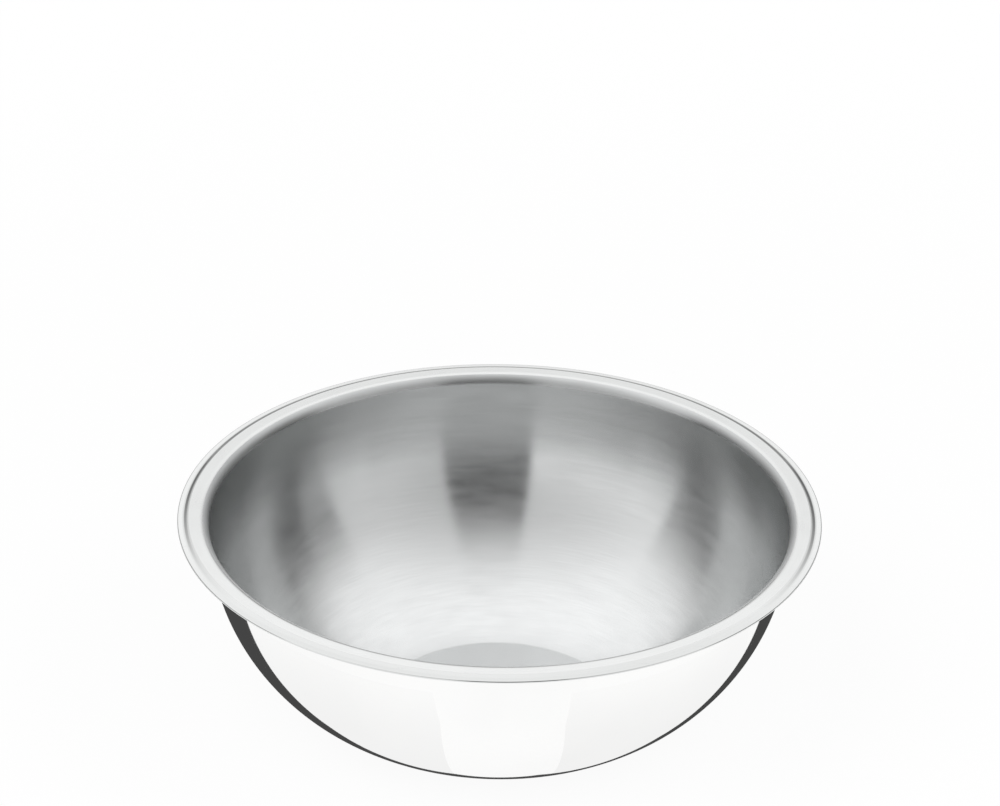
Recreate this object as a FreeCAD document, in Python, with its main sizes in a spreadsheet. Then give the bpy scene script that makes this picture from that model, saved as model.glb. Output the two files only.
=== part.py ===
import FreeCAD, Part
import math
import os

import Sketcher
from FreeCAD import Vector

# Stainless mixing bowl, pressed in one piece from round sheet: a flat base, a round wall,
# a shoulder, a flat rim that steps down at its edge, and the edge curled under itself.
# Origin at the middle of the underside of the base, +Z up, millimetres.

# Driving dimensions: name, value, what it measures.
DIMENSIONS = (
    ("rim_diameter", 280.0, "outside of the curled edge"),
    ("bowl_height", 97.1, "table to the top of the flat rim"),
    ("rim_width", 13.3, "outside of the wall to the outside of the curled edge"),
    ("base_diameter", 102.4, "flat of the base, underside"),
    ("sheet_thickness", 0.5, "stainless sheet"),
    ("base_corner_radius", 8.0, "base to wall, underside"),
    ("base_corner_turn", 13.35, "degrees that the base corner turns up before the wall begins"),
    ("shoulder_radius", 4.0, "wall to rim, underside"),
    ("step_drop", 0.8, "flat rim down to the top of the edge bead"),
    ("step_slope", 29.0, "degrees that the step turns down"),
    ("step_radius", 2.0, "top of the step, where the rim turns down"),
    ("crease_radius", 0.8, "foot of the step, where the bead begins"),
    ("bead_width", 2.7, "foot of the step to the outside of the curled edge"),
    ("curl_gap", 0.2, "between the bead and the edge folded under it"),
    ("hem_length", 1.8, "straight length folded under the bead"),
)


def make_sheet(doc):
    """The spreadsheet that drives every size."""
    sheet = doc.addObject("Spreadsheet::Sheet", "dimensions")
    for row, (name, value, note) in enumerate(DIMENSIONS, start=1):
        sheet.set(f"A{row}", name)
        sheet.set(f"B{row}", str(value))
        sheet.set(f"C{row}", note)
        sheet.setAlias(f"B{row}", name)
    doc.recompute()
    return sheet


def polar(centre, radius, degrees):
    """The point at that radius and angle from a centre, in the sketch."""
    turn = math.radians(degrees)
    return centre + Vector(radius * math.cos(turn), radius * math.sin(turn), 0)


class Bend:
    """One round stretch of the sheet. radius is the underside's, and the sheet travels
    from angle start to angle finish about the centre, both in degrees."""

    def __init__(self, centre, radius, start, finish):
        self.centre = centre
        self.radius = radius
        self.start = start
        self.finish = finish
        self.turns_up = finish > start

    def radius_at(self, lift):
        """The radius of the face that lies lift above the underside."""
        return self.radius - lift if self.turns_up else self.radius + lift

    def ends_at(self, lift):
        """Where that face begins and ends this bend."""
        radius = self.radius_at(lift)
        return [polar(self.centre, radius, angle) for angle in (self.start, self.finish)]

    def add_to(self, sketch, lift):
        """Draws the arc. Returns its number and which of its ends the sheet meets first and last."""
        circle = Part.Circle(self.centre, Vector(0, 0, 1), self.radius_at(lift))
        low, high = sorted((math.radians(self.start), math.radians(self.finish)))
        number = sketch.addGeometry(Part.ArcOfCircle(circle, low, high), False)
        return (number, 1, 2) if self.turns_up else (number, 2, 1)


def bends_of(sheet):
    """The six bends of the section, from the base out, where the dimensions put them."""
    base_reach = sheet.base_diameter / 2
    rim_reach = sheet.rim_diameter / 2
    corner_centre = Vector(base_reach, sheet.base_corner_radius, 0)
    shoulder_centre = Vector(
        rim_reach - sheet.rim_width + sheet.shoulder_radius,
        sheet.bowl_height - sheet.sheet_thickness - sheet.shoulder_radius,
        0,
    )

    # The wall is the one arc that runs on from the base corner and meets the shoulder.
    corner_end = sheet.base_corner_turn - 90
    wall_start = polar(corner_centre, sheet.base_corner_radius, corner_end)
    inward = polar(Vector(), 1, corner_end + 180)
    span = wall_start - shoulder_centre
    wall_radius = (span * span - sheet.shoulder_radius**2) / (
        2 * (sheet.shoulder_radius - span * inward)
    )
    wall_centre = wall_start + inward * wall_radius
    to_shoulder = shoulder_centre - wall_centre
    wall_end = math.degrees(math.atan2(to_shoulder.y, to_shoulder.x))

    # The step is two arcs with a straight slope between them, which makes up the drop.
    slope = sheet.step_slope
    step_reach = sheet.step_radius + sheet.crease_radius
    arcs_drop = step_reach * (1 - math.cos(math.radians(slope)))
    run = (sheet.step_drop - arcs_drop) / math.sin(math.radians(slope))
    crease_centre = Vector(
        rim_reach - sheet.bead_width,
        sheet.bowl_height - sheet.step_drop + sheet.crease_radius,
        0,
    )
    step_centre = polar(crease_centre, step_reach, 270 - slope) + polar(Vector(), run, 180 - slope)

    curl_radius = sheet.curl_gap / 2
    curl_centre = Vector(
        rim_reach - sheet.sheet_thickness - curl_radius,
        sheet.bowl_height - sheet.step_drop - sheet.sheet_thickness - curl_radius,
        0,
    )
    thickness = sheet.sheet_thickness
    return {
        "corner": Bend(corner_centre, sheet.base_corner_radius, -90, corner_end),
        "wall": Bend(wall_centre, wall_radius, corner_end, wall_end),
        "shoulder": Bend(shoulder_centre, sheet.shoulder_radius, 180 + wall_end, 90),
        "step": Bend(step_centre, sheet.step_radius - thickness, 90, 90 - slope),
        "crease": Bend(crease_centre, sheet.crease_radius + thickness, 270 - slope, 270),
        "curl": Bend(curl_centre, curl_radius, 90, -90),
    }


def draw_face(sketch, bends, lift, hem_length):
    """Draws one face of the sheet from the axis to its cut edge, tangent all along.
    Returns each stretch by name as (number, first end, last end)."""
    ends = {name: bend.ends_at(lift) for name, bend in bends.items()}
    curl_exit = ends["curl"][1]
    straights = {
        "base": (Vector(0, lift, 0), ends["corner"][0]),
        "flange": (ends["shoulder"][1], ends["step"][0]),
        "slope": (ends["step"][1], ends["crease"][0]),
        "bead": (ends["crease"][1], ends["curl"][0]),
        "hem": (curl_exit, curl_exit - Vector(hem_length, 0, 0)),
    }
    order = (
        "base", "corner", "wall", "shoulder", "flange",
        "step", "slope", "crease", "bead", "curl", "hem",
    )
    drawn = {}
    for name in order:
        if name in bends:
            drawn[name] = bends[name].add_to(sketch, lift)
        else:
            line = sketch.addGeometry(Part.LineSegment(*straights[name]), False)
            if name != "slope":
                sketch.addConstraint(Sketcher.Constraint("Horizontal", line))
            drawn[name] = (line, 1, 2)
    for before, after in zip(order, order[1:]):
        last = drawn[before]
        first = drawn[after]
        sketch.addConstraint(
            Sketcher.Constraint("Tangent", last[0], last[2], first[0], first[1])
        )
    return drawn


def join(sketch, first, second):
    """Closes the profile with a straight line between two (number, end) points."""
    line = sketch.addGeometry(Part.LineSegment(sketch.getPoint(*first), sketch.getPoint(*second)), False)
    sketch.addConstraint(Sketcher.Constraint("Coincident", line, 1, *first))
    sketch.addConstraint(Sketcher.Constraint("Coincident", line, 2, *second))
    return line


def drive(sketch, name, expression, kind, *where):
    """Adds a named dimension to the sketch and ties it to the spreadsheet."""
    number = sketch.addConstraint(Sketcher.Constraint(kind, *where))
    sketch.renameConstraint(number, name)
    sketch.setExpression(f"Constraints.{name}", expression)


def draw_profile(sketch, sheet):
    """The closed section of the sheet, right of the axis: underside, upper face, and both ends."""
    bends = bends_of(sheet)
    under = draw_face(sketch, bends, 0, sheet.hem_length)
    upper = draw_face(sketch, bends, sheet.sheet_thickness, sheet.hem_length)
    origin = (-1, 1)
    upright_axis = -2

    sketch.addConstraint(Sketcher.Constraint("Coincident", under["base"][0], 1, *origin))
    sketch.addConstraint(Sketcher.Constraint("PointOnObject", upper["base"][0], 1, upright_axis))
    join(sketch, (under["base"][0], 1), (upper["base"][0], 1))
    cut_edge = join(sketch, (under["hem"][0], 2), (upper["hem"][0], 2))
    sketch.addConstraint(Sketcher.Constraint("Vertical", cut_edge))
    for name in bends:
        sketch.addConstraint(Sketcher.Constraint("Coincident", under[name][0], 3, upper[name][0], 3))

    sketch.addConstraint(Sketcher.Constraint("Parallel", under["slope"][0], upper["slope"][0]))

    # The line from the wall's centre to the corner's passes through where they meet.
    centres = bends["wall"].centre, bends["corner"].centre
    turn_line = sketch.addGeometry(Part.LineSegment(*centres), True)
    sketch.addConstraint(Sketcher.Constraint("Coincident", turn_line, 1, under["wall"][0], 3))
    sketch.addConstraint(Sketcher.Constraint("Coincident", turn_line, 2, under["corner"][0], 3))

    def number(name, face=under):
        return face[name][0]

    drive(sketch, "thickness", "dimensions.sheet_thickness",
          "DistanceY", number("base"), 1, number("base", upper), 1, sheet.sheet_thickness)
    drive(sketch, "base_reach", "dimensions.base_diameter / 2",
          "DistanceX", *origin, number("base"), 2, sheet.base_diameter / 2)
    drive(sketch, "corner_radius", "dimensions.base_corner_radius",
          "Radius", number("corner"), sheet.base_corner_radius)
    drive(sketch, "corner_turn", "dimensions.base_corner_turn * 1 deg - 90 deg",
          "Angle", turn_line, math.radians(sheet.base_corner_turn - 90))
    drive(sketch, "shoulder_reach",
          "dimensions.rim_diameter / 2 - dimensions.rim_width + dimensions.shoulder_radius",
          "DistanceX", *origin, number("shoulder"), 3, bends["shoulder"].centre.x)
    drive(sketch, "shoulder_radius", "dimensions.shoulder_radius",
          "Radius", number("shoulder"), sheet.shoulder_radius)
    drive(sketch, "height", "dimensions.bowl_height",
          "DistanceY", *origin, number("flange", upper), 1, sheet.bowl_height)
    drive(sketch, "step_radius", "dimensions.step_radius",
          "Radius", number("step", upper), sheet.step_radius)
    drive(sketch, "crease_radius", "dimensions.crease_radius",
          "Radius", number("crease", upper), sheet.crease_radius)
    drive(sketch, "step_slope", "dimensions.step_slope * -1 deg",
          "Angle", number("slope"), math.radians(-sheet.step_slope))
    drive(sketch, "bead_height", "dimensions.bowl_height - dimensions.step_drop",
          "DistanceY", *origin, number("bead", upper), 1, sheet.bowl_height - sheet.step_drop)
    drive(sketch, "bead_start", "dimensions.rim_diameter / 2 - dimensions.bead_width",
          "DistanceX", *origin, number("crease"), 3, bends["crease"].centre.x)
    drive(sketch, "curl_reach",
          "dimensions.rim_diameter / 2 - dimensions.sheet_thickness - dimensions.curl_gap / 2",
          "DistanceX", *origin, number("curl"), 3, bends["curl"].centre.x)
    drive(sketch, "curl_radius", "dimensions.curl_gap / 2",
          "Radius", number("curl"), sheet.curl_gap / 2)
    drive(sketch, "hem_length", "dimensions.hem_length",
          "DistanceX", number("hem"), 2, number("hem"), 1, sheet.hem_length)


def make_bowl_shell(doc, sheet):
    """The whole bowl: its section turned once about the upright axis."""
    body = doc.addObject("PartDesign::Body", "bowl_shell")
    body.Label = "bowl_shell"
    sketch = body.newObject("Sketcher::SketchObject", "sheet_section")
    plane = next(f for f in body.Origin.OriginFeatures if f.Role == "XZ_Plane")
    sketch.AttachmentSupport = (plane, [""])
    sketch.MapMode = "FlatFace"
    doc.recompute()
    draw_profile(sketch, sheet)
    doc.recompute()
    if not sketch.FullyConstrained:
        raise RuntimeError("the section of the bowl is not fully constrained")

    turned = body.newObject("PartDesign::Revolution", "drawn_sheet")
    turned.Profile = sketch
    turned.ReferenceAxis = (sketch, ["V_Axis"])
    turned.Angle = 360
    body.Placement = FreeCAD.Placement()
    return body


def check(doc, parts):
    """Stops before anything is written if an object failed or a piece is not a sound solid."""
    for item in doc.Objects:
        if "Invalid" in item.State or "Error" in item.State:
            raise RuntimeError(f"{item.Name} failed: {item.State}")
    for part in parts:
        if part.Shape.isNull() or not part.Shape.isValid() or not part.Shape.Solids:
            raise RuntimeError(f"{part.Label} is not a sound solid")


def main():
    doc = FreeCAD.newDocument("mixing_bowl")
    sheet = make_sheet(doc)
    parts = [make_bowl_shell(doc, sheet)]
    doc.recompute()
    check(doc, parts)

    os.makedirs("parts", exist_ok=True)
    for part in parts:
        part.Shape.exportStep(f"parts/{part.Label}.step")
        box = part.Shape.optimalBoundingBox(False)
        print(
            f"{part.Label}: {box.XLength:.2f} x {box.YLength:.2f} x {box.ZLength:.2f} mm, "
            f"{part.Shape.Volume / 1000:.2f} cm3, {len(part.Shape.Solids)} solid"
        )


main()
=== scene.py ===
# %% [markdown]
# # A stainless mixing bowl
# The bowl is one round sheet of stainless steel, pressed in a die. It has a flat base, a round wall, a
# shoulder, and a flat rim that steps down to a thin bead, where the edge of the sheet is curled under.
# The outside is polished like a mirror, and the inside is brushed in circles. This lesson models the
# sheet the way a spinner thinks of it: first the section, then one turn round the middle.

# %% Load the frame
import math
import bpy
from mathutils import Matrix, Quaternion, Vector


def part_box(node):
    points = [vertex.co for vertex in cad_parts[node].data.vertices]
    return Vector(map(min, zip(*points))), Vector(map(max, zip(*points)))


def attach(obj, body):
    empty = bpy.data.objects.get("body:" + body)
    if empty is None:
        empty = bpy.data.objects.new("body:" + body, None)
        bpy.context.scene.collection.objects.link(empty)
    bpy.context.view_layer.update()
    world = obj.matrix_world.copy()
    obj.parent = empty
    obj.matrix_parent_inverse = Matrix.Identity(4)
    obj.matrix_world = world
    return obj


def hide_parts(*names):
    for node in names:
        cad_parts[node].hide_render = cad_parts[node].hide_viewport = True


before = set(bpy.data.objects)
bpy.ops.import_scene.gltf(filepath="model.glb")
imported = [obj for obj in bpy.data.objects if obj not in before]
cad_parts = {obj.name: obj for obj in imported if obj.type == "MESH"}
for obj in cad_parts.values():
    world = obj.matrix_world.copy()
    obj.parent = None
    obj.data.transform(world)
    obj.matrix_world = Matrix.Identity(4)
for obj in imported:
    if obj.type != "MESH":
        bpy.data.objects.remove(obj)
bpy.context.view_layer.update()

bpy.context.scene.view_settings.view_transform = "Standard"

# %% [markdown]
# ## Sizes
# The frame gives the two sizes that everything else hangs on: how wide the bowl is over its bead, and
# how tall it is from the table to the top of the rim. The rest are the maker's sizes for this pattern
# of bowl. They are in metres, because Blender works in metres here, and one millimetre is 0.001.

# %% The sizes of the sheet
low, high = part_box("bowl_shell")
RIM_RADIUS = high[0]
TOP = high[2]
SHEET = 0.0005
RIM_WIDTH = 0.0133
BASE_RADIUS = 0.0512
CORNER_RADIUS = 0.008
CORNER_TURN = math.radians(13.35)
SHOULDER_RADIUS = 0.004
STEP_DROP = 0.0008
STEP_SLOPE = math.radians(29)
STEP_RADIUS = 0.002
CREASE_RADIUS = 0.0008
BEAD_WIDTH = 0.0027
CURL_GAP = 0.0002
HEM_LENGTH = 0.0018
print("rim radius", round(RIM_RADIUS * 1000, 2), "mm, height", round(TOP * 1000, 2), "mm")

# %% [markdown]
# ## Where the bends turn
# The section is a chain of straight runs and round bends, and each bend needs a centre. The wall is one
# large arc. It leaves the base corner without a kink and meets the shoulder without a kink, and only one
# circle does both. Its centre could be found by eye, but then the join shows as a line in the polish, so
# it is worked out: the circle touches the corner's end, and runs round the shoulder's circle.

# %% The centres of the bends
corner_centre = Vector((BASE_RADIUS, 0, CORNER_RADIUS))
shoulder_centre = Vector((RIM_RADIUS - RIM_WIDTH + SHOULDER_RADIUS, 0, TOP - SHEET - SHOULDER_RADIUS))
inward = Vector((-math.sin(CORNER_TURN), 0, math.cos(CORNER_TURN)))
corner_end = corner_centre - inward * CORNER_RADIUS
across = corner_end - shoulder_centre
wall_radius = (across.dot(across) - SHOULDER_RADIUS ** 2) / (2 * (SHOULDER_RADIUS - across.dot(inward)))
wall_centre = corner_end + inward * wall_radius
lean = math.atan2(shoulder_centre.z - wall_centre.z, shoulder_centre.x - wall_centre.x)
wall_turn = math.pi / 2 - CORNER_TURN + lean
shoulder_turn = math.pi / 2 + lean
print("wall arc radius", round(wall_radius * 1000, 2), "mm, turning", round(math.degrees(wall_turn), 2))

bead_top = TOP - STEP_DROP
crease_centre = Vector((RIM_RADIUS - BEAD_WIDTH, 0, bead_top + CREASE_RADIUS))
bends_drop = (STEP_RADIUS + CREASE_RADIUS) * (1 - math.cos(STEP_SLOPE))
slope_run = (STEP_DROP - bends_drop) / math.sin(STEP_SLOPE)
bends_reach = (STEP_RADIUS + CREASE_RADIUS) * math.sin(STEP_SLOPE)
step_reach = bends_reach + slope_run * math.cos(STEP_SLOPE)
step_centre = Vector((crease_centre.x - step_reach, 0, TOP - STEP_RADIUS))
curl_radius = CURL_GAP / 2 + SHEET
curl_centre = Vector((RIM_RADIUS - curl_radius, 0, bead_top - curl_radius))
flat_width = step_centre.x - shoulder_centre.x
print("flat rim", round(flat_width * 1000, 2), "mm wide")

# %% [markdown]
# ## Drawing the section
# A modeller can draw a section as a curve, or as edges. Edges are chosen, because the spin operator then
# sweeps each bend exactly. The line follows the upper face of the sheet, from the middle of the base out
# to the end of the hem. A straight run is one point extruded. A bend is that point spun about a centre
# in the plane of the section, and a positive turn goes up, towards the inside of the bowl. The base and the
# flat rim get a few extra points, closest to their bends, so that smooth shading leaves them flat.

# %% Helpers for the section
def clear_selection():
    bpy.ops.object.select_all(action="DESELECT")


def run_out(length, slope=0.0):
    """A straight run of the sheet, outwards from the middle, level or down a slope."""
    step = (length * math.cos(slope), 0, -length * math.sin(slope))
    bpy.ops.mesh.extrude_region_move(TRANSFORM_OT_translate={"value": step})


def bend(centre, turn, steps):
    """A round bend of the sheet about a centre. A positive turn goes up."""
    axis = (0, 1, 0) if turn > 0 else (0, -1, 0)
    bpy.ops.mesh.spin(steps=steps, angle=abs(turn), center=centre, axis=axis)


# %% The section of the bowl
BASE_RUNS = (0.006, 0.024, 0.0204)
RIM_SHARES = (0.08, 0.42, 0.42, 0.08)
clear_selection()
bpy.ops.mesh.primitive_plane_add(size=0.001, location=(0, 0, 0))
bowl = bpy.context.object
bowl.name = "mixing_bowl"
bowl.data.name = "mixing_bowl"
bpy.ops.object.mode_set(mode="EDIT")
bpy.ops.mesh.select_all(action="SELECT")
bpy.ops.mesh.merge(type="CENTER")
bpy.ops.transform.translate(value=(0, 0, SHEET))
for length in (*BASE_RUNS, BASE_RADIUS - sum(BASE_RUNS)):
    run_out(length)
bend(corner_centre, CORNER_TURN, steps=5)
bend(wall_centre, wall_turn, steps=64)
bend(shoulder_centre, -shoulder_turn, steps=16)
for share in RIM_SHARES:
    run_out(flat_width * share)
bend(step_centre, -STEP_SLOPE, steps=6)
run_out(slope_run, STEP_SLOPE)
bend(crease_centre, STEP_SLOPE, steps=5)
run_out(curl_centre.x - crease_centre.x)
bend(curl_centre, -math.pi, steps=16)
run_out(-HEM_LENGTH)
bpy.ops.object.mode_set(mode="OBJECT")
section_end = bowl.data.vertices[-1].co
print(len(bowl.data.vertices), "points in the section, ending at", [round(v * 1000, 3) for v in section_end])

# %% [markdown]
# ## One turn round the middle
# The section is spun once round the upright axis. A screw modifier would do the same, but the operator
# leaves plain mesh that can be cleaned at once. The seam and the middle of the base have doubled points,
# which are merged. The faces of an open skin may point either way, so they are made to agree and then
# turned, if they have to be, until the base faces up. Only then does the sheet get its thickness,
# downwards and outwards, so that the face that was drawn stays where it is.

# %% Spin the section
STEPS_ROUND = 256
MERGE_DISTANCE = 0.00001
bpy.ops.object.mode_set(mode="EDIT")
bpy.ops.mesh.select_all(action="SELECT")
bpy.ops.mesh.spin(steps=STEPS_ROUND, angle=2 * math.pi, center=(0, 0, 0), axis=(0, 0, 1))
bpy.ops.mesh.select_all(action="SELECT")
bpy.ops.mesh.remove_doubles(threshold=MERGE_DISTANCE)
bpy.ops.mesh.normals_make_consistent(inside=False)
bpy.ops.object.mode_set(mode="OBJECT")
base_faces = [face for face in bowl.data.polygons if Vector(face.center).xy.length < BASE_RADIUS * 0.9]
if base_faces[0].normal.z < 0:
    bpy.ops.object.mode_set(mode="EDIT")
    bpy.ops.mesh.select_all(action="SELECT")
    bpy.ops.mesh.flip_normals()
    bpy.ops.object.mode_set(mode="OBJECT")
print(len(bowl.data.polygons), "faces in the skin, base faces up:", base_faces[0].normal.z > 0)

# %% [markdown]
# ## The parts of the finish
# The maker finishes the sheet in four ways: brushed inside, finer brushing on the flat rim, a buffed bead,
# and a mirror outside. Each is a material slot. The faces are sorted by their place on the sheet while
# there is only one skin, which is simpler than picking them out of a closed shell. The satin of the rim
# starts a little way down the shoulder.

# %% Sort the faces into finishes
SATIN_LEAD = 0.0017
BRUSHED_INSIDE, SATIN_RIM, BUFFED_BEAD, MIRROR_OUTSIDE = range(4)
rim_starts = shoulder_centre.x - SATIN_LEAD
bead_starts = step_centre.x
for face in bowl.data.polygons:
    from_middle = Vector(face.center).xy.length
    if from_middle < rim_starts:
        face.material_index = BRUSHED_INSIDE
    elif from_middle < bead_starts and face.normal.z > 0:
        face.material_index = SATIN_RIM
    else:
        face.material_index = BUFFED_BEAD
print("rim finish starts", round(rim_starts * 1000, 1), "mm out, bead", round(bead_starts * 1000, 1))

# %% [markdown]
# ## Thickness
# A Solidify modifier turns the skin into sheet. Even thickness keeps the half millimetre true on the tight
# curl as well as on the wall. The new lower skin takes the mirror slot: the modifier adds three to each
# face's slot, and stops at the last one.

# %% Give the sheet its thickness
SHARPEST_SMOOTH = math.radians(40)
for slot_name in ("brushed inside", "satin rim", "buffed bead", "mirror outside"):
    bowl.data.materials.append(bpy.data.materials.new(slot_name))
clear_selection()
bowl.select_set(True)
bpy.context.view_layer.objects.active = bowl
sheet = bowl.modifiers.new("sheet thickness", "SOLIDIFY")
sheet.thickness = SHEET
sheet.offset = -1
sheet.use_even_offset = True
sheet.material_offset = MIRROR_OUTSIDE
sheet.material_offset_rim = MIRROR_OUTSIDE
bpy.ops.object.modifier_apply(modifier=sheet.name)
bpy.ops.object.shade_smooth_by_angle(angle=SHARPEST_SMOOTH)
print(len(bowl.data.polygons), "faces in the closed sheet")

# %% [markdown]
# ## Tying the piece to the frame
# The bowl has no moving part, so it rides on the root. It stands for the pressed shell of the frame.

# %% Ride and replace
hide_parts("bowl_shell")
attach(bowl, "root")
print("bowl rides on the root")

# %% [markdown]
# ## Building materials
# Node trees are easier to read when each node is made in one line. The first helpers make a node with its
# settings, join two sockets, and do the sums that come back in every finish. The others say where on the
# bowl a point lies: its three coordinates, its place seen from above, and how far out that is.

# %% Helpers for nodes
def add(tree, kind, **settings):
    """A new node with its settings."""
    node = tree.nodes.new(kind)
    for name, value in settings.items():
        setattr(node, name, value)
    return node


def join(tree, start, end):
    """A link from one socket to another."""
    tree.links.new(start, end)


def maths(tree, operation, first, second=None):
    """A math node on sockets or plain numbers. Returns what it puts out."""
    node = add(tree, "ShaderNodeMath", operation=operation)
    for socket, value in zip(node.inputs, (first, second)):
        if isinstance(value, (int, float)):
            socket.default_value = value
        elif value is not None:
            join(tree, value, socket)
    return node.outputs[0]


def spread(tree, value, start, end, low_end, high_end, soft=False):
    """Maps a value from one range to another, with a soft start and end if asked."""
    node = add(tree, "ShaderNodeMapRange", interpolation_type="SMOOTHSTEP" if soft else "LINEAR")
    join(tree, value, node.inputs["Value"])
    node.inputs["From Min"].default_value = start
    node.inputs["From Max"].default_value = end
    node.inputs["To Min"].default_value = low_end
    node.inputs["To Max"].default_value = high_end
    return node.outputs["Result"]


def swing(tree, value, amount):
    """A value from nought to one, made to swing about nought by that amount in all."""
    return maths(tree, "MULTIPLY", maths(tree, "SUBTRACT", value, 0.5), amount)


def grey_steps(tree, value, stops):
    """A grey that follows a value through places and levels, given in rising order."""
    ramp = add(tree, "ShaderNodeValToRGB")
    join(tree, value, ramp.inputs["Fac"])
    elements = ramp.color_ramp.elements
    for element, (place, level) in zip(elements, (stops[0], stops[-1])):
        element.position = place
        element.color = (level, level, level, 1)
    for place, level in stops[1:-1]:
        elements.new(place).color = (level, level, level, 1)
    return ramp.outputs["Color"]


# %% Helpers for places
def object_place(tree):
    """The place of a point in the piece's own coordinates."""
    return add(tree, "ShaderNodeTexCoord").outputs["Object"]


def axes_of(tree, place):
    """The X, Y and Z of a place, each on its own socket."""
    axes = add(tree, "ShaderNodeSeparateXYZ")
    join(tree, place, axes.inputs[0])
    return axes.outputs


def seen_from_above(tree, axes):
    """A place without its height."""
    level = add(tree, "ShaderNodeCombineXYZ")
    join(tree, axes["X"], level.inputs["X"])
    join(tree, axes["Y"], level.inputs["Y"])
    return level.outputs[0]


def length_of(tree, place):
    """How far a place is from the middle."""
    node = add(tree, "ShaderNodeVectorMath", operation="LENGTH")
    join(tree, place, node.inputs[0])
    return node.outputs["Value"]


# %% [markdown]
# ## Circular brushing
# The inside is brushed while the bowl turns, so every scratch is part of a circle round the middle. Rings
# alone would look like a record. A real brush skips, so the scratches are long but not endless. The group
# makes a space where one direction runs round the bowl, and the other runs up the section, and puts noise
# in it that is stretched round. It gives a fine grain, and the broader bands that the brush leaves.

# %% The circular brushing group
BAND_SHARE = 0.12


def stretched_noise(group, turned, up_section, lines, detail):
    """Noise with so many lines to a metre of section, drawn out round the bowl."""
    round_bowl = axes_of(group, turned)
    space = add(group, "ShaderNodeCombineXYZ")
    join(group, round_bowl["X"], space.inputs["X"])
    join(group, round_bowl["Y"], space.inputs["Y"])
    join(group, maths(group, "MULTIPLY", up_section, lines), space.inputs["Z"])
    noise = add(group, "ShaderNodeTexNoise")
    noise.inputs["Scale"].default_value = 1.0
    noise.inputs["Detail"].default_value = detail
    join(group, space.outputs[0], noise.inputs["Vector"])
    return noise.outputs["Fac"]


def make_brushing():
    group = bpy.data.node_groups.new("circular brushing", "ShaderNodeTree")
    group.interface.new_socket("Lines per metre", in_out="INPUT", socket_type="NodeSocketFloat")
    group.interface.new_socket("Breaks round", in_out="INPUT", socket_type="NodeSocketFloat")
    group.interface.new_socket("Grain", in_out="OUTPUT", socket_type="NodeSocketFloat")
    group.interface.new_socket("Bands", in_out="OUTPUT", socket_type="NodeSocketFloat")
    given = add(group, "NodeGroupInput")
    result = add(group, "NodeGroupOutput")
    axes = axes_of(group, object_place(group))
    level = seen_from_above(group, axes)
    up_section = maths(group, "ADD", length_of(group, level), axes["Z"])
    heading = add(group, "ShaderNodeVectorMath", operation="NORMALIZE")
    join(group, level, heading.inputs[0])
    turned = add(group, "ShaderNodeVectorMath", operation="SCALE")
    join(group, heading.outputs[0], turned.inputs[0])
    join(group, given.outputs["Breaks round"], turned.inputs["Scale"])
    for name, share, detail in (("Grain", 1.0, 4.0), ("Bands", BAND_SHARE, 3.0)):
        lines = maths(group, "MULTIPLY", given.outputs["Lines per metre"], share)
        join(group, stretched_noise(group, turned.outputs[0], up_section, lines, detail), result.inputs[name])
    return group


brushing = make_brushing()
print("brushing group puts out", [item.name for item in brushing.interface.items_tree])

# %% [markdown]
# ## Handling marks
# Stainless that has been wiped and stacked is never quite even. Soft patches are a little duller where a
# cloth has dried, and hairlines cross the polish. This group gives both as masks from nought to one, and
# each finish takes as little of them as it shows.

# %% The handling marks group
HAIR_TURN = (0.4, 0.7, 1.1)
HAIR_STRETCH = (40, 900, 300)


def make_handling():
    group = bpy.data.node_groups.new("handling marks", "ShaderNodeTree")
    group.interface.new_socket("Patch size", in_out="INPUT", socket_type="NodeSocketFloat")
    group.interface.new_socket("Patches", in_out="OUTPUT", socket_type="NodeSocketFloat")
    group.interface.new_socket("Hairlines", in_out="OUTPUT", socket_type="NodeSocketFloat")
    given = add(group, "NodeGroupInput")
    result = add(group, "NodeGroupOutput")
    place = object_place(group)
    patch = add(group, "ShaderNodeTexNoise")
    patch.inputs["Detail"].default_value = 2.0
    join(group, place, patch.inputs["Vector"])
    join(group, maths(group, "DIVIDE", 1.0, given.outputs["Patch size"]), patch.inputs["Scale"])
    join(group, spread(group, patch.outputs["Fac"], 0.4, 0.7, 0.0, 1.0, soft=True), result.inputs["Patches"])
    stretch = add(group, "ShaderNodeMapping")
    stretch.inputs["Rotation"].default_value = HAIR_TURN
    stretch.inputs["Scale"].default_value = HAIR_STRETCH
    join(group, place, stretch.inputs["Vector"])
    hair = add(group, "ShaderNodeTexNoise")
    hair.inputs["Scale"].default_value = 1.0
    hair.inputs["Detail"].default_value = 1.0
    join(group, stretch.outputs[0], hair.inputs["Vector"])
    join(group, spread(group, hair.outputs["Fac"], 0.66, 0.74, 0.0, 1.0), result.inputs["Hairlines"])
    return group


handling = make_handling()
print("handling group puts out", [item.name for item in handling.interface.items_tree])

# %% [markdown]
# ## A steel recipe
# All four finishes are the same steel, so one function sets up the metal and the two groups, and each
# finish then gives its own numbers. Brushing blurs a reflection across its lines and leaves it sharp along
# them. The shader does this with anisotropy: its own direction already runs round the upright axis, and a
# quarter turn points the blur up the wall.

# %% The steel recipe
QUARTER_TURN = 0.25


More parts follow.
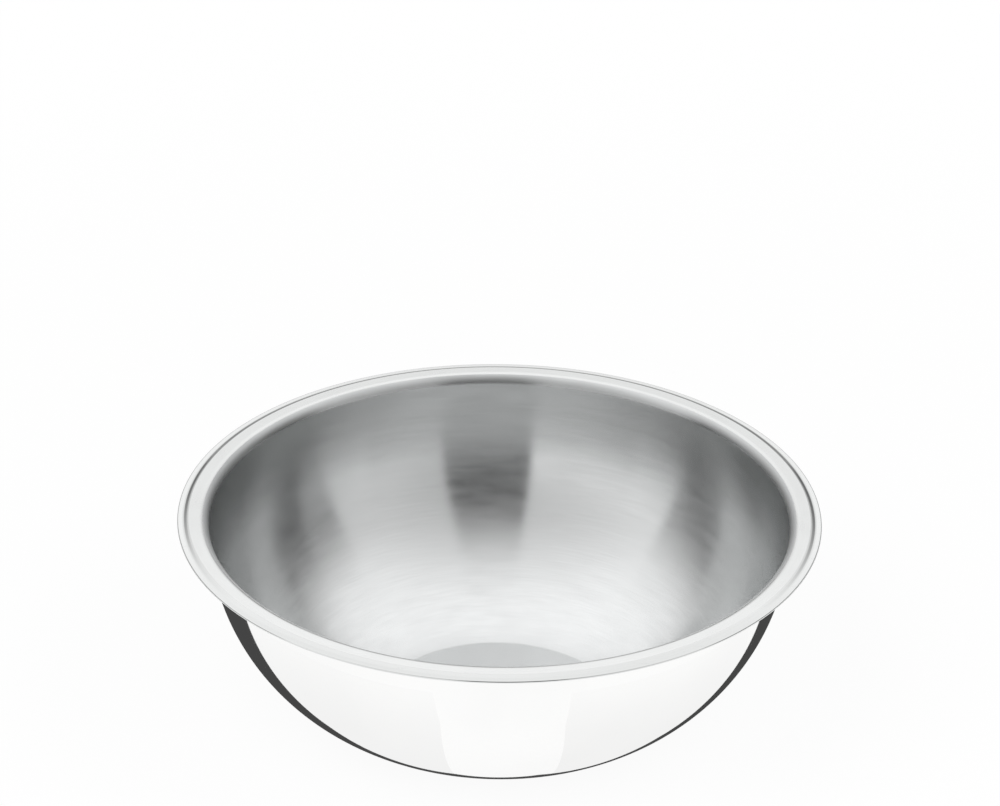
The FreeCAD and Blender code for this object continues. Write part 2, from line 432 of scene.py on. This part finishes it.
def make_steel(slot_name, lines, breaks, patch_size, blur_across=0.0):
    """The steel of one finish: its shader, and its two groups."""
    finish = bpy.data.materials[slot_name]
    finish.use_nodes = True
    tree = finish.node_tree
    shader = tree.nodes["Principled BSDF"]
    shader.inputs["Metallic"].default_value = 1.0
    if blur_across:
        shader.inputs["Anisotropic"].default_value = blur_across
        shader.inputs["Anisotropic Rotation"].default_value = QUARTER_TURN
    grain = add(tree, "ShaderNodeGroup", node_tree=brushing)
    grain.inputs["Lines per metre"].default_value = lines
    grain.inputs["Breaks round"].default_value = breaks
    marks = add(tree, "ShaderNodeGroup", node_tree=handling)
    marks.inputs["Patch size"].default_value = patch_size
    return tree, shader, grain.outputs, marks.outputs


def tint(tree, shader, value, dark, bright):
    """A colour between two, by a value over the surface, into the base colour."""
    blend = add(tree, "ShaderNodeMix", data_type="RGBA")
    join(tree, value, blend.inputs["Factor"])
    blend.inputs["A"].default_value = (*dark, 1)
    blend.inputs["B"].default_value = (*bright, 1)
    join(tree, blend.outputs["Result"], shader.inputs["Base Color"])


def roughen(tree, shader, bands, smoothest, roughest, *extras):
    """Roughness between two levels by the brush's bands, and then whatever dulls it further."""
    rough = spread(tree, bands, 0.3, 0.7, smoothest, roughest)
    for extra in extras:
        rough = maths(tree, "ADD", rough, extra)
    join(tree, rough, shader.inputs["Roughness"])


def relief(tree, shader, value, height):
    """A bump of that height in metres, by a value over the surface."""
    bump = add(tree, "ShaderNodeBump")
    bump.inputs["Distance"].default_value = height
    join(tree, value, bump.inputs["Height"])
    join(tree, bump.outputs["Normal"], shader.inputs["Normal"])


# %% [markdown]
# ## The brushed inside
# Inside, the brush is coarse, and the blur across its lines is strong. It is darkest high on the wall and
# lightest low down. The reflections of the room alone don't make the high wall dark enough, so painted shade
# darkens the base colour with height as well, and lifts again on the shoulder, which is also rougher. The
# heights of the painted shade are in decimetres, because a colour ramp runs from nought to one.

# %% The brushed inside
# The levels of the painted shade inside, by height in decimetres.
INSIDE_PAINTED_SHADE = (
    (0.0, 1.0), (0.12, 0.88), (0.24, 0.8), (0.36, 0.68), (0.48, 0.63), (0.6, 0.7),
    (0.7, 0.36), (0.8, 0.16), (0.943, 0.16), (0.966, 0.8), (1.0, 0.9),
)
INSIDE_DARK = (0.5, 0.507, 0.505)
INSIDE_BRIGHT = (0.975, 0.988, 0.99)
SHOULDER_FOOT = 0.0925
SHOULDER_HEAD = 0.0955
tree, shader, grain, marks = make_steel("brushed inside", 1500, 5, patch_size=0.05, blur_across=1.0)
height = axes_of(tree, object_place(tree))["Z"]
# Painted shade: the base colour darkens up the wall and lifts on the shoulder, in place of a darker
# reflection there.
painted_shading = grey_steps(tree, maths(tree, "MULTIPLY", height, 10.0), INSIDE_PAINTED_SHADE)
tint(tree, shader, maths(tree, "ADD", painted_shading, swing(tree, grain["Grain"], 0.2)), INSIDE_DARK, INSIDE_BRIGHT)
rough_shoulder = spread(tree, height, SHOULDER_FOOT, SHOULDER_HEAD, 0.0, 0.18, soft=True)
dried = maths(tree, "MULTIPLY", marks["Patches"], 0.02)
roughen(tree, shader, grain["Bands"], 0.18, 0.23, rough_shoulder, dried)
relief(tree, shader, grain["Grain"], 0.000003)
print("brushed inside made")

# %% [markdown]
# ## The satin rim
# The flat rim is brushed finer, so its lines are closer and its blur is more even. Its colour carries painted
# light, a touch brighter in front, and painted shade, darker where it turns down the shoulder. On a real bowl
# the light does that. But a light set up for the rim would also show in the mirror outside, so here the
# colour does it.

# %% The satin rim
SATIN_DARK = (0.78, 0.79, 0.785)
SATIN_BRIGHT = (0.985, 0.995, 0.99)
TURNS_DOWN = 0.0965
LIES_FLAT = 0.09707
tree, shader, grain, marks = make_steel("satin rim", 2600, 9, patch_size=0.04, blur_across=0.6)
axes = axes_of(tree, object_place(tree))
# Painted light in front and painted shade down the shoulder, in the rim's base colour.
painted_light_front = spread(tree, axes["Y"], -0.13, 0.02, 1.0, 0.56, soft=True)
painted_shade_shoulder = spread(tree, axes["Z"], TURNS_DOWN, LIES_FLAT, 0.5, 0.0, soft=True)
painted_shading = maths(tree, "SUBTRACT", painted_light_front, painted_shade_shoulder)
tint(tree, shader, maths(tree, "ADD", painted_shading, swing(tree, grain["Grain"], 0.2)), SATIN_DARK, SATIN_BRIGHT)
dried = maths(tree, "MULTIPLY", marks["Patches"], 0.03)
roughen(tree, shader, grain["Bands"], 0.20, 0.26, dried)
relief(tree, shader, grain["Grain"], 0.000002)
print("satin rim made")

# %% [markdown]
# ## The buffed bead
# The bead is buffed nearly to a mirror, with hairlines from handling. The crease behind it gets painted shade
# round the back and the sides, where the groove lies in shadow. The bead's colour also gets painted shade,
# a little darker in front, so that the edge doesn't outshine the flat rim there.

# %% The buffed bead
BEAD_DARK = (0.6, 0.61, 0.605)
BEAD_BRIGHT = (0.97, 0.98, 0.975)
CREASE_BOTTOM = 0.1368
CREASE_EDGE = 0.1382
tree, shader, grain, marks = make_steel("buffed bead", 3000, 14, patch_size=0.02)
axes = axes_of(tree, object_place(tree))
from_middle = length_of(tree, seen_from_above(tree, axes))
# Painted shade: the bead darker in front, and the crease darker round the back and the sides.
bead_painted_shade_front = spread(tree, axes["Y"], -0.13, 0.0, 0.6, 1.0, soft=True)
in_crease = spread(tree, from_middle, CREASE_BOTTOM, CREASE_EDGE, 0.85, 0.0, soft=True)
painted_crease_shade = maths(tree, "MULTIPLY", in_crease, spread(tree, axes["Y"], -0.08, 0.0, 0.0, 1.0))
tint(tree, shader, maths(tree, "SUBTRACT", bead_painted_shade_front, painted_crease_shade), BEAD_DARK, BEAD_BRIGHT)
scratched = maths(tree, "MULTIPLY", marks["Hairlines"], 0.12)
roughen(tree, shader, grain["Bands"], 0.10, 0.16, scratched)
relief(tree, shader, grain["Grain"], 0.000001)
print("buffed bead made")

# %% [markdown]
# ## The mirror outside
# The outside is a true mirror. Only a faint wave from the polishing wheel, a few hairlines and the dull
# patches say that it is sheet metal and not glass.

# %% The mirror outside
MIRROR_CLEAN = (0.975, 0.975, 0.97)
MIRROR_DULL = (0.955, 0.955, 0.95)
tree, shader, grain, marks = make_steel("mirror outside", 900, 8, patch_size=0.06)
tint(tree, shader, marks["Patches"], MIRROR_CLEAN, MIRROR_DULL)
scratched = maths(tree, "MULTIPLY", marks["Hairlines"], 0.06)
roughen(tree, shader, grain["Bands"], 0.02, 0.05, scratched)
relief(tree, shader, grain["Bands"], 0.000002)
print("mirror outside made")

# %% [markdown]
# ## The studio round the bowl
# A mirror has no look of its own: it shows the room. So the room is designed first. The bowl stands in a
# white tent with an opening in front, where the camera is. White card overhead fills the inside with light
# and leans to the back, the walls fall off to grey near the table, a soft box stands either side of the
# opening, and the opening itself is the dark bar in the back of the bowl. A dark flag hangs low on the
# right, and darkens the side of the bowl across from it. The tent could be built from glowing cards, but
# then each card's place shifts its reflection. The world's shader paints the room by direction instead.
# The camera sees plain white, and matt surfaces get an even fill.

# %% Directions in the tent
world = bpy.data.worlds.new("white tent")
bpy.context.scene.world = world
world.use_nodes = True
room = world.node_tree
room.nodes.clear()
looking = add(room, "ShaderNodeTexCoord")
direction = axes_of(room, looking.outputs["Generated"])
upward = direction["Z"]
forward = maths(room, "MULTIPLY", direction["Y"], -1.0)
around = maths(room, "MULTIPLY", maths(room, "ARCTAN2", direction["X"], forward), 180 / math.pi)

# %% The white walls and the white top
WALL_LEVELS = ((0.0, 0.14), (0.2, 0.24), (0.34, 0.5), (0.5, 0.88), (0.64, 0.96), (0.9, 1.0))
SUNK_TO_EITHER_SIDE = 0.07
SUNK_TO_THE_RIGHT = 0.14
RAISED_BEHIND = 0.08
DIMMED_IN_FRONT = 0.6
DIMMED_TO_THE_RIGHT = 0.12
to_either_side = maths(room, "ABSOLUTE", direction["X"])
to_the_right = maths(room, "MAXIMUM", direction["X"], 0.0)
to_the_back = maths(room, "MINIMUM", forward, 0.0)
sunk = maths(room, "MULTIPLY", to_either_side, SUNK_TO_EITHER_SIDE)
sunk = maths(room, "ADD", sunk, maths(room, "MULTIPLY", to_the_right, SUNK_TO_THE_RIGHT))
sunk = maths(room, "ADD", sunk, maths(room, "MULTIPLY", to_the_back, RAISED_BEHIND))
wall_light = grey_steps(room, maths(room, "SUBTRACT", upward, sunk), WALL_LEVELS)
in_front = maths(room, "MAXIMUM", forward, 0.0)
top_light = maths(room, "SUBTRACT", 1.0, maths(room, "MULTIPLY", in_front, DIMMED_IN_FRONT))
top_light = maths(room, "SUBTRACT", top_light, maths(room, "MULTIPLY", to_the_right, DIMMED_TO_THE_RIGHT))
tent_light = maths(room, "MINIMUM", wall_light, top_light)
print("the tent is darkest at the table and lightest overhead")


# %% [markdown]
# ## Soft boxes, the opening and the flag
# Each of these is a band between two bearings, with soft edges. A bearing is in degrees from the camera's
# side, and grows to the right. Every band fades out with height, because none reaches the top of the tent.

# %% The soft boxes, the opening and the flag
DARK_OF_THE_ROOM = 0.05


def between(value, start, end, soft):
    """One between two edges of a value and nought outside, with soft edges."""
    rise = spread(room, value, start - soft, start + soft, 0.0, 1.0, soft=True)
    fall = spread(room, value, end - soft, end + soft, 1.0, 0.0, soft=True)
    return maths(room, "MULTIPLY", rise, fall)


def soft_box(start, end, bearings, levels):
    """A soft box from start to end, as bright as its levels say at two bearings."""
    light = spread(room, around, *bearings, *levels)
    in_box = maths(room, "MULTIPLY", light, between(around, start, end, soft=4))
    return maths(room, "MULTIPLY", in_box, spread(room, upward, 0.35, 0.75, 1.0, 0.0, soft=True))


left_box = soft_box(-78, -6, bearings=(-50, -14), levels=(1.0, 0.88))
right_box = soft_box(16, 76, bearings=(22, 50), levels=(0.52, 0.75))
lit = maths(room, "MAXIMUM", tent_light, maths(room, "MAXIMUM", left_box, right_box))
opening_top = spread(room, upward, 0.56, 0.95, 1.0, 0.0, soft=True)
opening = maths(room, "MULTIPLY", between(around, -12.7, 23.5, soft=2), opening_top)
flag_top = spread(room, upward, 0.28, 0.5, 0.6, 0.0)
side_flag = maths(room, "MULTIPLY", between(around, 80, 105, soft=4), flag_top)
seen = add(room, "ShaderNodeMix", data_type="FLOAT")
join(room, maths(room, "MAXIMUM", opening, side_flag), seen.inputs["Factor"])
join(room, lit, seen.inputs["A"])
seen.inputs["B"].default_value = DARK_OF_THE_ROOM
print("tent painted with", len(room.nodes), "nodes")

# %% What each ray sees of the room
FILL_LEVEL = 0.5
ray = add(room, "ShaderNodeLightPath").outputs
tent = add(room, "ShaderNodeBackground")
join(room, seen.outputs["Result"], tent.inputs["Color"])
fill = add(room, "ShaderNodeBackground")
fill.inputs["Color"].default_value = (1, 1, 1, 1)
fill.inputs["Strength"].default_value = FILL_LEVEL
backdrop = add(room, "ShaderNodeBackground")
backdrop.inputs["Color"].default_value = (1, 1, 1, 1)
mirror_or_fill = add(room, "ShaderNodeMixShader")
join(room, ray["Is Glossy Ray"], mirror_or_fill.inputs["Fac"])
join(room, fill.outputs[0], mirror_or_fill.inputs[1])
join(room, tent.outputs[0], mirror_or_fill.inputs[2])
clear_view = maths(room, "MAXIMUM", ray["Is Camera Ray"], ray["Is Transmission Ray"])
whole = add(room, "ShaderNodeMixShader")
join(room, clear_view, whole.inputs["Fac"])
join(room, mirror_or_fill.outputs[0], whole.inputs[1])
join(room, backdrop.outputs[0], whole.inputs[2])
out = add(room, "ShaderNodeOutputWorld")
join(room, whole.outputs[0], out.inputs["Surface"])
print("world has", len(room.nodes), "nodes")

# %% [markdown]
# ## The floor
# The table is white card. Most of what the camera and the polish see of it is plain white, and the rest
# is the real shading, so that the soft shadow stays under the bowl and ties it to the table. Far out the
# card is all white for the camera, so no horizon shows from low down. For the polish it carries painted
# shade, a fall to grey as on a lit table, and that gives the upper wall its tone from the low side views.

# %% Lay the floor
FLOOR_SIZE = 60
FLOOR_GAP = 0.0002


def empty_material(name):
    """A material with no nodes yet, and its node tree."""
    made = bpy.data.materials.new(name)
    made.use_nodes = True
    made.node_tree.nodes.clear()
    return made, made.node_tree


clear_selection()
bpy.ops.mesh.primitive_plane_add(size=FLOOR_SIZE, location=(0, 0, low[2] - FLOOR_GAP))
floor = bpy.context.object
floor.name = "white_card"
white_card, paper = empty_material("white card")
floor.data.materials.append(white_card)
print("floor at", round(floor.location.z * 1000, 2), "mm")

# %% Colour the floor
matt = add(paper, "ShaderNodeBsdfDiffuse")
matt.inputs["Color"].default_value = (0.9, 0.9, 0.9, 1)
glow = add(paper, "ShaderNodeEmission")
ray = add(paper, "ShaderNodeLightPath").outputs
reach = length_of(paper, object_place(paper))
# Painted shade for the polish: the floor's glow falls to grey far out.
painted_falloff_far_out = spread(paper, reach, 0.24, 0.9, 1.0, 0.55, soft=True)
shade = add(paper, "ShaderNodeMix", data_type="FLOAT")
join(paper, ray["Is Glossy Ray"], shade.inputs["Factor"])
shade.inputs["A"].default_value = 1.0
join(paper, painted_falloff_far_out, shade.inputs["B"])
join(paper, shade.outputs["Result"], glow.inputs["Color"])
direct = maths(paper, "MAXIMUM", ray["Is Camera Ray"], ray["Is Glossy Ray"])
direct = maths(paper, "MAXIMUM", direct, ray["Is Transmission Ray"])
share_of_glow = spread(paper, reach, 0.25, 0.8, 0.94, 1.0, soft=True)
mixed = add(paper, "ShaderNodeMixShader")
join(paper, maths(paper, "MULTIPLY", direct, share_of_glow), mixed.inputs["Fac"])
join(paper, matt.outputs[0], mixed.inputs[1])
join(paper, glow.outputs[0], mixed.inputs[2])
out = add(paper, "ShaderNodeOutputMaterial")
join(paper, mixed.outputs[0], out.inputs["Surface"])
print("floor coloured with", len(paper.nodes), "nodes")

# %% [markdown]
# ## Cards for the polish
# A polished bowl on white card would vanish at its edges. Here one black card lies under and behind the
# bowl, out of the camera's sight, where the bowl's shadow falls on the table. It is painted shadow, and the
# polish shows it as a dark line that draws the shape. Its front edge is a little ahead of the base and is
# trimmed back to either side, five straight cuts in all, so that it shows as a thin line along the bottom
# and widens up the sides. Towards the back it fades to white. From behind it is a large dark patch, soft
# towards the back, but with a hard edge where those cuts show. Two pale grey cards lie in front, and the
# white table shows between them as a bright wedge. They stand for the soft shade that the bowl throws there.

# %% Helpers for cards
def glowing(name, level_of):
    """A plain card colour, from a function that makes its level in the node tree."""
    made, tree = empty_material(name)
    light = add(tree, "ShaderNodeEmission")
    join(tree, level_of(tree), light.inputs["Color"])
    out = add(tree, "ShaderNodeOutputMaterial")
    join(tree, light.outputs[0], out.inputs["Surface"])
    return made


def only_for_polish(card, colour):
    """Gives a card its colour, and hides it from all but mirror rays."""
    card.data.materials.append(colour)
    card.visible_camera = False
    card.visible_diffuse = False
    card.visible_transmission = False
    card.visible_shadow = False


def trim(card, cuts):
    """Cuts a card straight across, square to each bearing, and drops what lies beyond its reach."""
    clear_selection()
    card.select_set(True)
    bpy.context.view_layer.objects.active = card
    bpy.ops.object.mode_set(mode="EDIT")
    for bearing, reach in cuts:
        turn = math.radians(bearing)
        away = Vector((math.cos(turn), math.sin(turn), 0))
        bpy.ops.mesh.select_all(action="SELECT")
        bpy.ops.mesh.bisect(plane_co=away * reach, plane_no=away, clear_outer=True, use_fill=False)
    bpy.ops.object.mode_set(mode="OBJECT")


# %% Lay the black card
BLACK_CARD_SIZE = 0.6
BLACK_CARD_HEIGHT = 0.0001
# The level of the painted shadow near the bowl.
PAINTED_SHADOW_BLACK = 0.06
BLACK_CUTS = ((243, 0.0846), (252, 0.0759), (270, 0.0736), (294, 0.0753), (305, 0.0837))


def fading_painted_shadow(tree):
    """Painted shadow: black near the bowl, fading to white at the back and far out to the sides."""
    axes = axes_of(tree, object_place(tree))
    behind = spread(tree, axes["Y"], 0.085, 0.26, PAINTED_SHADOW_BLACK, 1.0, soft=True)
    to_the_side = maths(tree, "ABSOLUTE", axes["X"])
    beside = spread(tree, to_the_side, 0.2, 0.3, PAINTED_SHADOW_BLACK, 1.0, soft=True)
    return maths(tree, "MAXIMUM", behind, beside)


clear_selection()
bpy.ops.mesh.primitive_plane_add(size=BLACK_CARD_SIZE, location=(0, 0, BLACK_CARD_HEIGHT))
painted_shadow_card = bpy.context.object
painted_shadow_card.name = "painted_shadow_card"
bpy.ops.object.transform_apply(location=True, rotation=False, scale=False)
# Painted shadow: the card shows the bowl's shadow on the table, to mirror rays only.
only_for_polish(painted_shadow_card, glowing("card black", fading_painted_shadow))
trim(painted_shadow_card, BLACK_CUTS)
print("the black card has", len(painted_shadow_card.data.vertices), "corners")

# %% Lay the two grey cards
GREY_CARD_RADIUS = 0.2
BEHIND_THE_MIDDLE = (90, 0)
LEFT_CUTS = ((-17.4, 0.0037), (-24.9, 0.0226), BEHIND_THE_MIDDLE)
RIGHT_CUTS = ((-160.9, -0.0009), (-153, 0.019), BEHIND_THE_MIDDLE)


def pale_near_bowl(tree):
    """A pale grey that lightens away from the bowl."""
    return spread(tree, length_of(tree, object_place(tree)), 0.08, 0.19, 0.9, 0.98)


pale_grey = glowing("card pale grey", pale_near_bowl)
for name, cuts in (("grey_card_left", LEFT_CUTS), ("grey_card_right", RIGHT_CUTS)):
    clear_selection()
    bpy.ops.mesh.primitive_circle_add(vertices=128, radius=GREY_CARD_RADIUS, fill_type="NGON")
    grey_card = bpy.context.object
    grey_card.name = name
    only_for_polish(grey_card, pale_grey)
    trim(grey_card, cuts)
    print(name, "has", len(grey_card.data.vertices), "corners")

# %% [markdown]
# ## Lamps
# Matt surfaces need a plain soft light. Two large soft lamps stand above, the stronger on the left and to
# the front, so the shadow falls softly behind. They are hidden from mirror rays, because the painted
# tent is already there for those, and a lamp in it would be a second sun.

# %% Hang the lamps
BOWL_MIDDLE = Vector((0, 0, 0.05))


def hang_lamp(name, place, size, watts):
    """A soft lamp that looks at the bowl."""
    clear_selection()
    bpy.ops.object.light_add(type="AREA", location=place)
    lamp = bpy.context.object
    lamp.name = name
    lamp.data.shape = "DISK"
    lamp.data.size = size
    lamp.data.energy = watts
    lamp.rotation_mode = "QUATERNION"
    lamp.rotation_quaternion = (BOWL_MIDDLE - Vector(place)).to_track_quat("-Z", "Y")
    lamp.visible_glossy = False
    print(name, watts, "W")


hang_lamp("left_soft_lamp", (-0.9, -0.9, 1.8), size=1.4, watts=22)
hang_lamp("right_soft_lamp", (1.2, -0.4, 1.6), size=1.2, watts=12)

# %% [markdown]
# ## The camera
# A long lens far away keeps the circles of the rim almost even, as in a catalogue. The camera looks down
# a little under thirty degrees, aims above the rim so that the bowl sits low with white over it, and is
# tilted by less than a degree. Its distance and its aim are in rim radii, so they follow the bowl's size.

# %% Set the camera
DISTANCE = 18 * RIM_RADIUS
LOOK_DOWN = math.radians(29.473)
AIM_OFF = RIM_RADIUS * Vector((-0.00335, 0, 0.38928))
TILT = math.radians(0.741)
LENS = 208.71
rim_middle = Vector((0, 0, TOP))
stand = rim_middle + DISTANCE * Vector((0, -math.cos(LOOK_DOWN), math.sin(LOOK_DOWN)))
aim = rim_middle + AIM_OFF
clear_selection()
bpy.ops.object.camera_add(location=stand)
camera = bpy.context.object
camera.rotation_mode = "QUATERNION"
level_view = (aim - stand).to_track_quat("-Z", "Y")
camera.rotation_quaternion = level_view @ Quaternion((0, 0, 1), TILT)
camera.data.sensor_width = 36
camera.data.lens = LENS
camera.data.clip_start = 0.05
camera.data.clip_end = 200
bpy.context.scene.camera = camera
print("camera stands", round(DISTANCE, 2), "m away, lens", round(camera.data.lens), "mm")
